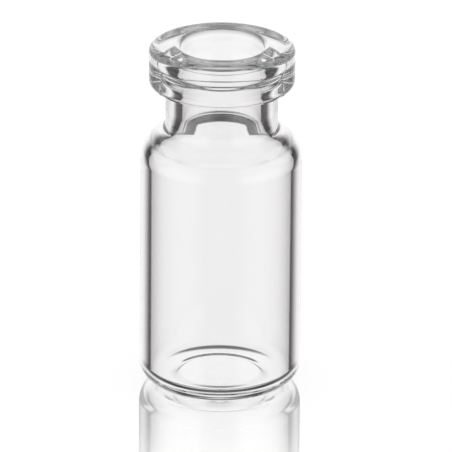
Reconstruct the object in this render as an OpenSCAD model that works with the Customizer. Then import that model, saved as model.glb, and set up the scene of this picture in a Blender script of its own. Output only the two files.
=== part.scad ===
// Crimp-top sample vial, drawn from one piece of clear glass tube.
// The foot stands on z = 0, the axis is Z, and the sealing face is the top.

/* [Body] */
// Overall height, from the foot to the sealing face
overall_h = 32.2; // [28:0.1:45]
// Outside diameter of the body tube
body_d = 14.6; // [13.6:0.1:20]
// Wall thickness of the body tube
wall_t = 1; // [0.8:0.05:1.3]

/* [Base] */
// Outside radius of the heel, between the wall and the foot
heel_r = 2.1; // [1.5:0.1:2.4]
// Inside radius between the wall and the floor
floor_r = 0.8; // [0.5:0.1:2]
// Thickness of the glass in the middle of the base
base_t = 1.05; // [0.8:0.05:2]
// Height of the push-up under the base
push_up_h = 0.25; // [0.1:0.05:0.6]
// Width of the sloping edge of the push-up
push_up_edge_w = 1.3; // [0.8:0.1:2]
// Width of the flat ring that the vial stands on
foot_w = 0.55; // [0.3:0.05:1]
// Rise of the middle of the inside floor above its edge
floor_rise = 0.2; // [0.1:0.05:0.5]

/* [Shoulder] */
// Outside radius where the body turns in to the shoulder
shoulder_r = 3.4; // [2:0.05:4.5]
// Outside radius where the shoulder turns up to the neck
neck_blend_r = 1.2; // [0.5:0.1:2]
// Angle of the shoulder's slope from the vertical
shoulder_angle = 60; // [50:1:70]
// Thickness of the glass across the shoulder's slope
shoulder_t = 1.6; // [1.2:0.05:1.8]
// Inside radius where the body turns in to the shoulder
shoulder_in_r = 1.5; // [1:0.1:2.5]
// Inside radius where the shoulder turns up to the bore
bore_blend_r = 4; // [2.5:0.1:4.5]

/* [Neck] */
// Outside diameter of the neck
neck_d = 10.15; // [9.6:0.05:10.8]
// Length of the straight neck below the flange
neck_h = 3.15; // [2:0.05:6]

/* [Flange] */
// Diameter of the crimp flange
flange_d = 13.2; // [12.8:0.05:13.6]
// Height of the crimp flange
flange_h = 3.9; // [3.4:0.1:5]
// Width of the rounding of the flange's upper edge
flange_top_w = 0.95; // [0.3:0.05:1.2]
// Height of the rounding of the flange's upper edge
flange_top_h = 0.6; // [0.3:0.05:1.1]
// Width of the rounding of the flange's lower edge
flange_bottom_w = 0.5; // [0.3:0.05:0.9]
// Height of the rounding of the flange's lower edge
flange_bottom_h = 0.85; // [0.3:0.05:1.1]
// Radius between the neck and the flange's underside
flange_fillet_r = 0.4; // [0.2:0.05:0.6]

/* [Bore] */
// Diameter of the bore that takes the stopper, at the lip and below the groove
bore_d = 7.1; // [6.9:0.05:7.3]
// Diameter of the blow-back groove that locks the stopper in
groove_d = 7.6; // [7.4:0.05:7.8]
// Diameter of the lead-in above the lip, under the mouth's edge
lead_d = 7.4; // [7.3:0.05:7.7]
// Depth of the lip, below the sealing face
lip_depth = 1.1; // [0.9:0.05:1.4]
// Depth of the widest part of the groove, below the sealing face
groove_depth = 2.1; // [1.9:0.05:2.4]
// Depth where the straight bore starts, below the sealing face
bore_depth = 3; // [2.7:0.05:3.3]
// Width of the rounding of the mouth's edge
mouth_w = 0.6; // [0.3:0.05:0.9]
// Height of the rounding of the mouth's edge
mouth_h = 0.45; // [0.2:0.05:0.7]

/* [Hidden] */

// Angle of one step along a rounded stretch of the profile
arc_step = 12;
// Steps along a wave in the profile
wave_steps = 6;
// Flats round the vial
$fn = 72;

body_r = body_d / 2;
inner_r = body_r - wall_t;
neck_r = neck_d / 2;
flange_r = flange_d / 2;
bore_r = bore_d / 2;

flange_z = overall_h - flange_h;
neck_z = flange_z - neck_h;

foot_out_r = body_r - heel_r;
foot_in_r = foot_out_r - foot_w;
floor_z = push_up_h + base_t;
floor_edge_z = floor_z - floor_rise;

// The flange's lower edge leaves room for the fillet beside it
flange_lower_w = min(flange_bottom_w, flange_r - neck_r - flange_fillet_r);

// Points of an arc about [x, z], of half axes rx and rz, from angle a0 to angle a1
function oval(x, z, rx, rz, a0, a1) =
    let (steps = max(2, ceil(abs(a1 - a0) / arc_step)))
    [for (i = [0:steps]) let (a = a0 + (a1 - a0) * i / steps) [x + rx * cos(a), z + rz * sin(a)]];
function arc(x, z, r, a0, a1) = oval(x, z, r, r, a0, a1);

// Points of an S-shaped step: level at both ends
function step_across(p, q) =
    [for (i = [0:wave_steps]) let (s = i / wave_steps)
        [p[0] + (q[0] - p[0]) * s, p[1] + (q[1] - p[1]) * (1 - cos(180 * s)) / 2]];
// Points of an S-shaped step: upright at both ends
function step_down(p, q) =
    [for (i = [0:wave_steps]) let (s = i / wave_steps)
        [p[0] + (q[0] - p[0]) * (1 - cos(180 * s)) / 2, p[1] + (q[1] - p[1]) * s]];

// Share of their size that two blend radii keep where the step between them is small
function blend_share(step, r_sum) = min(1, step / (r_sum * (1 - cos(shoulder_angle))));

// Outside shoulder: an arc off the body, a slope, and an arc up to the neck
outer_step = body_r - neck_r;
outer_share = blend_share(outer_step, shoulder_r + neck_blend_r);
outer_low_r = shoulder_r * outer_share;
outer_high_r = neck_blend_r * outer_share;
outer_slope = (outer_step - (outer_low_r + outer_high_r) * (1 - cos(shoulder_angle)))
    / sin(shoulder_angle);
shoulder_z = neck_z - (outer_low_r + outer_high_r) * sin(shoulder_angle)
    - outer_slope * cos(shoulder_angle);

// Inside shoulder: its slope lies shoulder_t inside the outside one
inner_step = inner_r - bore_r;
inner_share = blend_share(inner_step, shoulder_in_r + bore_blend_r);
inner_low_r = shoulder_in_r * inner_share;
inner_high_r = bore_blend_r * inner_share;
slope_out_r = body_r - outer_low_r * (1 - cos(shoulder_angle));
slope_out_z = shoulder_z + outer_low_r * sin(shoulder_angle);
slope_in_r = inner_r - inner_low_r * (1 - cos(shoulder_angle));
slope_in_z = slope_out_z + ((slope_out_r - slope_in_r) * cos(shoulder_angle) - shoulder_t)
    / sin(shoulder_angle);
inner_z = slope_in_z - inner_low_r * sin(shoulder_angle);
inner_slope = (inner_step - (inner_low_r + inner_high_r) * (1 - cos(shoulder_angle)))
    / sin(shoulder_angle);
bore_low_z = slope_in_z + inner_slope * cos(shoulder_angle) + inner_high_r * sin(shoulder_angle);

outside = concat(
    [[0, push_up_h]],
    step_across([foot_in_r - push_up_edge_w, push_up_h], [foot_in_r, 0]),
    arc(foot_out_r, heel_r, heel_r, -90, 0),
    arc(body_r - outer_low_r, shoulder_z, outer_low_r, 0, shoulder_angle),
    arc(neck_r + outer_high_r, neck_z, outer_high_r, 180 + shoulder_angle, 180),
    arc(neck_r + flange_fillet_r, flange_z - flange_fillet_r, flange_fillet_r, 180, 90),
    oval(flange_r - flange_lower_w, flange_z + flange_bottom_h, flange_lower_w, flange_bottom_h, -90, 0),
    oval(flange_r - flange_top_w, overall_h - flange_top_h, flange_top_w, flange_top_h, 0, 90)
);

// The levels inside the mouth, from the sealing face down
lead = [lead_d / 2, overall_h - mouth_h];
lip = [bore_r, overall_h - lip_depth];
groove = [groove_d / 2, overall_h - groove_depth];
bore_top = [bore_r, overall_h - bore_depth];

inside = concat(
    oval(lead[0] + mouth_w, lead[1], mouth_w, mouth_h, 90, 180),
    step_down(lead, lip),
    step_down(lip, groove),
    step_down(groove, bore_top),
    arc(bore_r + inner_high_r, bore_low_z, inner_high_r, 180, 180 + shoulder_angle),
    arc(inner_r - inner_low_r, inner_z, inner_low_r, shoulder_angle, 0),
    arc(inner_r - floor_r, floor_edge_z + floor_r, floor_r, 0, -90),
    step_across([inner_r - floor_r, floor_edge_z], [0, floor_z])
);

module vial() {
    color([0.86, 0.89, 0.88, 0.45])
        rotate_extrude()
            polygon(concat(outside, inside));
}

vial();
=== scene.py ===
from math import ceil, cos, dist, pi, radians, sin

import bmesh
import bpy
from mathutils import Matrix, Vector


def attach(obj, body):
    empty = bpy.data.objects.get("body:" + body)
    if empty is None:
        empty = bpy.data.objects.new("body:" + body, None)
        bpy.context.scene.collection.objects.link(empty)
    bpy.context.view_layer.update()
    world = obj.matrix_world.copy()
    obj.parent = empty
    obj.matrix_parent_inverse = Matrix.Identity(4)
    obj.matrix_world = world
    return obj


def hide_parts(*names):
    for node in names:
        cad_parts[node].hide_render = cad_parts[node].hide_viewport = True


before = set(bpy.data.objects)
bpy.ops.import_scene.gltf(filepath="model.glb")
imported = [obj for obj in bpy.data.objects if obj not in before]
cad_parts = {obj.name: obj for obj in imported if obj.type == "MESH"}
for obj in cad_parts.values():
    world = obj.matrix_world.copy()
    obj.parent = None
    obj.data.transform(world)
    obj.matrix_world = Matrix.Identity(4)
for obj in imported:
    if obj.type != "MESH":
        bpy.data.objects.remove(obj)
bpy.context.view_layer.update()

scene = bpy.context.scene
MM = 0.001

# The vial's sizes, in mm, as in the part's source. Body:
OVERALL_H = 32.2
BODY_R = 7.3
WALL_T = 1.0
# Base
HEEL_R = 2.1
FLOOR_R = 0.8
BASE_T = 1.05
PUSH_UP_H = 0.25
PUSH_UP_EDGE_W = 1.3
FOOT_W = 0.55
FLOOR_RISE = 0.2
# Shoulder, with its slope's angle from the vertical in degrees
SHOULDER_R = 3.4
NECK_BLEND_R = 1.2
SHOULDER_ANGLE = 60
SHOULDER_T = 1.6
SHOULDER_IN_R = 1.5
BORE_BLEND_R = 4.0
# Neck and flange
NECK_R = 5.075
NECK_H = 3.15
FLANGE_R = 6.6
FLANGE_H = 3.9
FLANGE_TOP_W = 0.95
FLANGE_TOP_H = 0.6
FLANGE_BOTTOM_W = 0.5
FLANGE_BOTTOM_H = 0.85
FLANGE_FILLET_R = 0.4
# Bore, with its depths below the sealing face
BORE_R = 3.55
GROOVE_R = 3.8
LEAD_R = 3.7
LIP_DEPTH = 1.1
GROOVE_DEPTH = 2.1
BORE_DEPTH = 3.0
MOUTH_W = 0.6
MOUTH_H = 0.45

# How fine the outline is: degrees a step on an arc, and steps along a wave
ARC_STEP = 3
ACROSS_STEPS = 24
DOWN_STEPS = 16
# Flats round the vial
SIDES = 288
# Points nearer than this, in mm, count as one
SAME_POINT = 1e-4


def oval(x, z, rx, rz, a0, a1):
    """Points of an arc about (x, z), of half axes rx and rz, from angle a0 to angle a1."""
    n = ceil(abs(a1 - a0) / ARC_STEP)
    turns = [radians(a0 + (a1 - a0) * i / n) for i in range(n + 1)]
    return [(x + rx * cos(a), z + rz * sin(a)) for a in turns]


def arc(x, z, r, a0, a1):
    return oval(x, z, r, r, a0, a1)


def step_across(p, q):
    """Points of an S-shaped step, level at both ends."""
    shares = [i / ACROSS_STEPS for i in range(ACROSS_STEPS + 1)]
    return [(p[0] + (q[0] - p[0]) * s, p[1] + (q[1] - p[1]) * (1 - cos(pi * s)) / 2) for s in shares]


def step_down(p, q):
    """Points of an S-shaped step, upright at both ends."""
    shares = [i / DOWN_STEPS for i in range(DOWN_STEPS + 1)]
    return [(p[0] + (q[0] - p[0]) * (1 - cos(pi * s)) / 2, p[1] + (q[1] - p[1]) * s) for s in shares]


slope_cos, slope_sin = cos(radians(SHOULDER_ANGLE)), sin(radians(SHOULDER_ANGLE))


def blends(run, low_r, high_r):
    """The two radii at the ends of a slope, smaller where its run is short, and its straight length."""
    share = min(1, run / ((low_r + high_r) * (1 - slope_cos)))
    low, high = low_r * share, high_r * share
    return low, high, (run - (low + high) * (1 - slope_cos)) / slope_sin


flange_z = OVERALL_H - FLANGE_H
neck_z = flange_z - NECK_H
out_low, out_high, out_slope = blends(BODY_R - NECK_R, SHOULDER_R, NECK_BLEND_R)
shoulder_z = neck_z - (out_low + out_high) * slope_sin - out_slope * slope_cos


def outside():
    """The outline's outer side, from the middle of the push-up to the sealing face."""
    foot_out = BODY_R - HEEL_R
    foot_in = foot_out - FOOT_W
    fillet = FLANGE_FILLET_R
    low_w, low_h, top_w, top_h = FLANGE_BOTTOM_W, FLANGE_BOTTOM_H, FLANGE_TOP_W, FLANGE_TOP_H
    points = [(0, PUSH_UP_H)]
    points += step_across((foot_in - PUSH_UP_EDGE_W, PUSH_UP_H), (foot_in, 0))
    points += arc(foot_out, HEEL_R, HEEL_R, -90, 0)
    points += arc(BODY_R - out_low, shoulder_z, out_low, 0, SHOULDER_ANGLE)
    points += arc(NECK_R + out_high, neck_z, out_high, 180 + SHOULDER_ANGLE, 180)
    points += arc(NECK_R + fillet, flange_z - fillet, fillet, 180, 90)
    points += oval(FLANGE_R - low_w, flange_z + low_h, low_w, low_h, -90, 0)
    points += oval(FLANGE_R - top_w, OVERALL_H - top_h, top_w, top_h, 0, 90)
    return points


def inside():
    """The outline's inner side, from the mouth's edge down to the middle of the floor."""
    inner_r = BODY_R - WALL_T
    floor_z = PUSH_UP_H + BASE_T
    floor_edge = floor_z - FLOOR_RISE

    # The inside slope lies SHOULDER_T inside the outside one
    low, high, slope = blends(inner_r - BORE_R, SHOULDER_IN_R, BORE_BLEND_R)
    out_r = BODY_R - out_low * (1 - slope_cos)
    out_z = shoulder_z + out_low * slope_sin
    in_r = inner_r - low * (1 - slope_cos)
    in_z = out_z + ((out_r - in_r) * slope_cos - SHOULDER_T) / slope_sin
    inner_z = in_z - low * slope_sin
    bore_low = in_z + slope * slope_cos + high * slope_sin

    lead = (LEAD_R, OVERALL_H - MOUTH_H)
    lip = (BORE_R, OVERALL_H - LIP_DEPTH)
    groove = (GROOVE_R, OVERALL_H - GROOVE_DEPTH)
    bore_top = (BORE_R, OVERALL_H - BORE_DEPTH)

    points = oval(LEAD_R + MOUTH_W, OVERALL_H - MOUTH_H, MOUTH_W, MOUTH_H, 90, 180)
    points += step_down(lead, lip) + step_down(lip, groove) + step_down(groove, bore_top)
    points += arc(BORE_R + high, bore_low, high, 180, 180 + SHOULDER_ANGLE)
    points += arc(inner_r - low, inner_z, low, SHOULDER_ANGLE, 0)
    points += arc(inner_r - FLOOR_R, floor_edge + FLOOR_R, FLOOR_R, 0, -90)
    points += step_across((inner_r - FLOOR_R, floor_edge), (0, floor_z))
    return points


def profile():
    """The closed outline of the glass, as (radius, height) in mm, with no point twice in a row."""
    kept = []
    for point in outside() + inside():
        if not kept or dist(point, kept[-1]) > SAME_POINT:
            kept.append(point)
    return kept


def new_object(name, bm):
    """A new object in the scene, of the form that bm holds."""
    mesh = bpy.data.meshes.new(name)
    bm.to_mesh(mesh)
    bm.free()
    obj = bpy.data.objects.new(name, mesh)
    scene.collection.objects.link(obj)
    return obj


def lathe(name, points):
    """A smooth solid of revolution about Z, from its outline in mm."""
    bm = bmesh.new()
    rings = []
    for r, z in points:
        if r < SAME_POINT:
            rings.append([bm.verts.new((0, 0, z * MM))])
            continue
        turns = [2 * pi * k / SIDES for k in range(SIDES)]
        rings.append([bm.verts.new((r * cos(a) * MM, r * sin(a) * MM, z * MM)) for a in turns])
    for a, b in zip(rings, rings[1:]):
        for k in range(SIDES):
            j = (k + 1) % SIDES
            corners = [a[k % len(a)], a[j % len(a)], b[j % len(b)], b[k % len(b)]]
            bm.faces.new(list(dict.fromkeys(corners))).smooth = True
    bmesh.ops.recalc_face_normals(bm, faces=bm.faces)
    return new_object(name, bm)


# The glass: its refractive index, and the tint that shows in its long paths
GLASS_IOR = 1.49
TINT = (0.47, 0.56, 0.49, 1)
TINT_DENSITY = 8
WHITE = (1, 1, 1, 1)


def clear_glass():
    material = bpy.data.materials.new("clear_glass")
    material.use_nodes = True
    tree = material.node_tree
    shader = tree.nodes["Principled BSDF"]
    shader.inputs["Base Color"].default_value = WHITE
    shader.inputs["Roughness"].default_value = 0
    shader.inputs["IOR"].default_value = GLASS_IOR
    shader.inputs["Transmission Weight"].default_value = 1
    tint = tree.nodes.new("ShaderNodeVolumeAbsorption")
    tint.inputs["Color"].default_value = TINT
    tint.inputs["Density"].default_value = TINT_DENSITY
    tree.links.new(tint.outputs[0], tree.nodes["Material Output"].inputs["Volume"])
    return material


vial = lathe("glass_vial", profile())
vial.data.materials.append(clear_glass())
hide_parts("vial")
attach(vial, "root")


class Nodes:
    """One node tree, with short calls that add nodes to it and give their outputs."""

    # Places of the Mix node's share, first and last inputs, and of its output
    MIX = {"FLOAT": ((0, 2, 3), 0), "RGBA": ((0, 6, 7), 2)}

    def __init__(self, tree):
        self.tree = tree
        tree.nodes.clear()

    def add(self, kind, **settings):
        made = self.tree.nodes.new(kind)
        for name, value in settings.items():
            setattr(made, name, value)
        return made

    def feed(self, socket, value):
        """Link the value to the socket if it is an output, or else set it there."""
        if isinstance(value, bpy.types.NodeSocket):
            self.tree.links.new(value, socket)
        else:
            socket.default_value = value

    def join(self, made, *values):
        """Feed a node's inputs in their order."""
        for socket, value in zip(made.inputs, values):
            self.feed(socket, value)
        return made.outputs[0]

    def shader(self, kind, **inputs):
        made = self.add(kind)
        for name, value in inputs.items():
            self.feed(made.inputs[name], value)
        return made.outputs[0]

    def maths(self, operation, *values):
        return self.join(self.add("ShaderNodeMath", operation=operation), *values)

    def times(self, product, *values):
        for value in values:
            product = self.maths("MULTIPLY", product, value)
        return product

    def largest(self, most, *values):
        for value in values:
            most = self.maths("MAXIMUM", most, value)
        return most

    def at_least(self, number, count):
        """1 where a whole number is the count or more, and 0 elsewhere."""
        return self.maths("GREATER_THAN", number, count - 0.5)

    def below(self, number, count):
        """1 where a whole number is less than the count, and 0 elsewhere."""
        return self.maths("LESS_THAN", number, count - 0.5)

    def ramp(self, value, start, end, first, last):
        """Smooth change from first to last while the value goes from start to end."""
        made = self.add("ShaderNodeMapRange", interpolation_type="SMOOTHSTEP")
        (low, at_low), (high, at_high) = sorted([(start, first), (end, last)])
        for name, number in (("From Min", low), ("From Max", high), ("To Min", at_low), ("To Max", at_high)):
            made.inputs[name].default_value = number
        self.feed(made.inputs["Value"], value)
        return made.outputs["Result"]

    def mix(self, kind, share, first, last):
        made = self.add("ShaderNodeMix", data_type=kind)
        ends, result = self.MIX[kind]
        for end, value in zip(ends, (share, first, last)):
            self.feed(made.inputs[end], value)
        return made.outputs[result]


# The surround's light, by the direction that a ray leaves in. Azimuth is 0 behind the vial and 180
# in front of it, on both sides alike, and height is 90 straight up, both in degrees. Each change of
# level is smooth, and is given as its first angle, its last angle, and the levels before and after.

# A bright panel behind. Above the horizon its sides lean in by PANEL_LEAN for each degree of height.
PANEL_EDGE = (18, 46, 1, 0.07)
PANEL_LEAN = 1.3
PANEL_FOOT = (-36, -52, 1, 0.1)
PANEL_TOP = (19, 26, 1, 0.15)
# Soft boxes at the two sides
BOX_BACK = (61, 89, 0, 0.85)
BOX_FRONT = (145, 160, 1, 0.05)
BOX_FOOT = (-8, -21, 1, 0.4)
BOX_TOP = (32, 44, 1, 0.3)
# A ceiling light behind
CEILING_FOOT = (22, 30, 0, 0.75)
CEILING_TOP = (46, 58, 1, 0.1)
CEILING_EDGE = (40, 60, 1, 0)
# The pale backdrop for rays that went through both walls. It reaches as far up as down, and for
# rays that were never mirrored it goes on round the vial.
BACKDROP = 0.985
BACKDROP_ENDS = (34, 42, BACKDROP, 0.05)
BACKDROP_EDGE = (0, 40, 1, 0.72)
BACKDROP_FRONT = (100, 150, 1, 0.3)
BACKDROP_ROUND = (50, 75, 0, 1)
# The table under the backdrop, with the vial's shadow painted on it: a dark band above the table's edge,
# and a darkening straight below. Rays that were never mirrored keep at least the last share below of it
# there.
TABLE_SHADOW_EDGE = (-46, -54, 0, 0.9)
TABLE_SHADOW_BELOW = (-58, -80, 1, 0.12)
TABLE_KEPT_IN_SHADOW = 0.35
# What rays that were never mirrored show through one wall, as at the mouth's far side
ONE_WALL = (-20, -80, BACKDROP, 0.6)
# A breath of pink towards the sides
PINK = (1, 0.97, 0.985, 1)
PINK_EDGE = (0, 24, 0, 1)

DEGREES = 180 / pi
# A ray that goes through a wall passes two faces of the glass
FACES_OF_WALL = 2

world = bpy.data.worlds.new("studio")
scene.world = world
world.use_nodes = True
sky = Nodes(world.node_tree)

axes = sky.add("ShaderNodeSeparateXYZ")
sky.feed(axes.inputs[0], sky.add("ShaderNodeTexCoord").outputs["Generated"])
x, y, z = axes.outputs
azimuth = sky.times(sky.maths("ARCTAN2", sky.maths("ABSOLUTE", x), y), DEGREES)
height = sky.times(sky.maths("ARCSINE", z), DEGREES)

# What happened to the ray on its way: how often it was mirrored, and how many walls it went through
path = sky.add("ShaderNodeLightPath").outputs
mirrored = path["Glossy Depth"]
walls = sky.maths("DIVIDE", path["Transmission Depth"], FACES_OF_WALL)
never_mirrored = sky.below(mirrored, 1)
entered = sky.at_least(walls, 1)


def panel():
    """The panel behind. It leans for rays whose mirrorings and walls add up to an even number."""
    even = sky.below(sky.maths("MODULO", sky.maths("ADD", mirrored, walls), 2), 1)
    lean = sky.times(sky.largest(height, 0), even, PANEL_LEAN)
    edge = sky.ramp(sky.maths("ADD", azimuth, lean), *PANEL_EDGE)
    return sky.times(edge, sky.ramp(height, *PANEL_FOOT), sky.ramp(height, *PANEL_TOP))


def boxes():
    across = sky.times(sky.ramp(azimuth, *BOX_BACK), sky.ramp(azimuth, *BOX_FRONT))
    return sky.times(across, sky.ramp(height, *BOX_FOOT), sky.ramp(height, *BOX_TOP))


def ceiling():
    upright = sky.times(sky.ramp(height, *CEILING_FOOT), sky.ramp(height, *CEILING_TOP))
    return sky.times(upright, sky.ramp(azimuth, *CEILING_EDGE))


def backdrop():
    # Painted shadow of the vial on the table: dark between the backdrop and the table's edge, and darker
    # straight below
    shadow_below = sky.largest(sky.ramp(height, *TABLE_SHADOW_BELOW), sky.times(never_mirrored, TABLE_KEPT_IN_SHADOW))
    table = sky.times(sky.ramp(height, *TABLE_SHADOW_EDGE), shadow_below)
    level = sky.largest(sky.ramp(sky.maths("ABSOLUTE", height), *BACKDROP_ENDS), table)
    spread = sky.times(sky.ramp(azimuth, *BACKDROP_EDGE), sky.ramp(azimuth, *BACKDROP_FRONT))
    around = sky.times(never_mirrored, sky.ramp(azimuth, *BACKDROP_ROUND))
    return sky.times(level, sky.largest(spread, around))


# Rays that met the glass see the surround. Camera rays, and rays that the floor mirrors or
# scatters, see white.
bounced = sky.at_least(path["Ray Depth"], 1)
met_glass = sky.largest(entered, sky.times(bounced, path["Is Singular Ray"]))
through_one = sky.times(never_mirrored, entered)
through_both = sky.times(sky.at_least(walls, 2), sky.below(mirrored, 2))
lights = sky.largest(panel(), boxes(), ceiling())
surround = sky.mix("FLOAT", through_one, lights, sky.ramp(height, *ONE_WALL))
surround = sky.mix("FLOAT", through_both, surround, backdrop())
strength = sky.mix("FLOAT", met_glass, 1, surround)
colour = sky.mix("RGBA", sky.times(met_glass, sky.ramp(azimuth, *PINK_EDGE)), WHITE, PINK)
light = sky.shader("ShaderNodeBackground", Color=colour, Strength=strength)
sky.feed(sky.add("ShaderNodeOutputWorld").inputs["Surface"], light)

# The floor, a hair under the foot. Its half size is in metres, and its drop in mm.
FLOOR_HALF = 3
FLOOR_DROP = 0.01
# White from its own light and from the grey that catches the world's, so that a shadow stays faint
PAPER_LIGHT = 0.65
PAPER_GREY = (0.42, 0.42, 0.42, 1)
# Share of the mirror image at the foot, its blur, and the reach in mm over which it fades out
MIRROR = 0.6
MIRROR_BLUR = 0.02
MIRROR_FROM = 8.5
MIRROR_TO = 35


def floor_white():
    """White to the camera, with a shadow and a fading mirror image, and open to all other rays."""
    material = bpy.data.materials.new("floor_white")
    material.use_nodes = True
    nodes = Nodes(material.node_tree)
    paper = nodes.shader("ShaderNodeEmission", Strength=PAPER_LIGHT)
    chalk = nodes.shader("ShaderNodeBsdfDiffuse", Color=PAPER_GREY)
    matt = nodes.join(nodes.add("ShaderNodeAddShader"), paper, chalk)
    mirror = nodes.shader("ShaderNodeBsdfGlossy", Color=WHITE, Roughness=MIRROR_BLUR)
    reach = nodes.add("ShaderNodeVectorMath", operation="LENGTH")
    nodes.feed(reach.inputs[0], nodes.add("ShaderNodeTexCoord").outputs["Object"])
    share = nodes.ramp(reach.outputs["Value"], MIRROR_FROM * MM, MIRROR_TO * MM, MIRROR, 0)
    face = nodes.join(nodes.add("ShaderNodeMixShader"), share, matt, mirror)
    opening = nodes.shader("ShaderNodeBsdfTransparent")
    from_camera = nodes.add("ShaderNodeLightPath").outputs["Is Camera Ray"]
    surface = nodes.join(nodes.add("ShaderNodeMixShader"), from_camera, opening, face)
    nodes.feed(nodes.add("ShaderNodeOutputMaterial").inputs["Surface"], surface)
    return material


grid = bmesh.new()
bmesh.ops.create_grid(grid, x_segments=1, y_segments=1, size=FLOOR_HALF)
floor = new_object("floor", grid)
floor.location.z = -FLOOR_DROP * MM
floor.data.materials.append(floor_white())

# The camera: a long lens, a little above the vial, turned a little about its own line of sight
ELEVATION = radians(20.75)
ROLL = radians(0.45)
DISTANCE = 1.2
CLIP = (0.1, 20)
SENSOR_W = 36
# Pixels to a metre at the vial, half the picture's width in pixels, and the pixel where the
# middle of the foot falls
SCALE = 11017.0
HALF = 226
FOOT_AT = (219.65, 378.0)

right = Vector((1, 0, 0))
up = Vector((0, sin(ELEVATION), cos(ELEVATION)))
back = Vector((0, -cos(ELEVATION), sin(ELEVATION)))
across = right * cos(ROLL) + up * sin(ROLL)
upward = up * cos(ROLL) - right * sin(ROLL)
offset = (FOOT_AT[0] - HALF) / SCALE, (HALF - FOOT_AT[1]) / SCALE
target = -(across * offset[0] + upward * offset[1])
turned = Matrix((across, upward, back)).transposed().to_4x4()

camera = bpy.data.cameras.new("camera")
camera.sensor_width = SENSOR_W
camera.lens = SENSOR_W / 2 * DISTANCE * SCALE / HALF
camera.clip_start, camera.clip_end = CLIP
eye = bpy.data.objects.new("camera", camera)
scene.collection.objects.link(eye)
eye.matrix_world = Matrix.Translation(target + back * DISTANCE) @ turned
scene.camera = eye

# Light takes long paths inside the flange before it leaves
BOUNCES = 96
scene.cycles.max_bounces = BOUNCES
scene.cycles.glossy_bounces = BOUNCES
scene.cycles.transmission_bounces = BOUNCES
scene.cycles.transparent_max_bounces = 8
scene.cycles.caustics_reflective = True
scene.cycles.caustics_refractive = True
scene.view_settings.view_transform = "Standard"
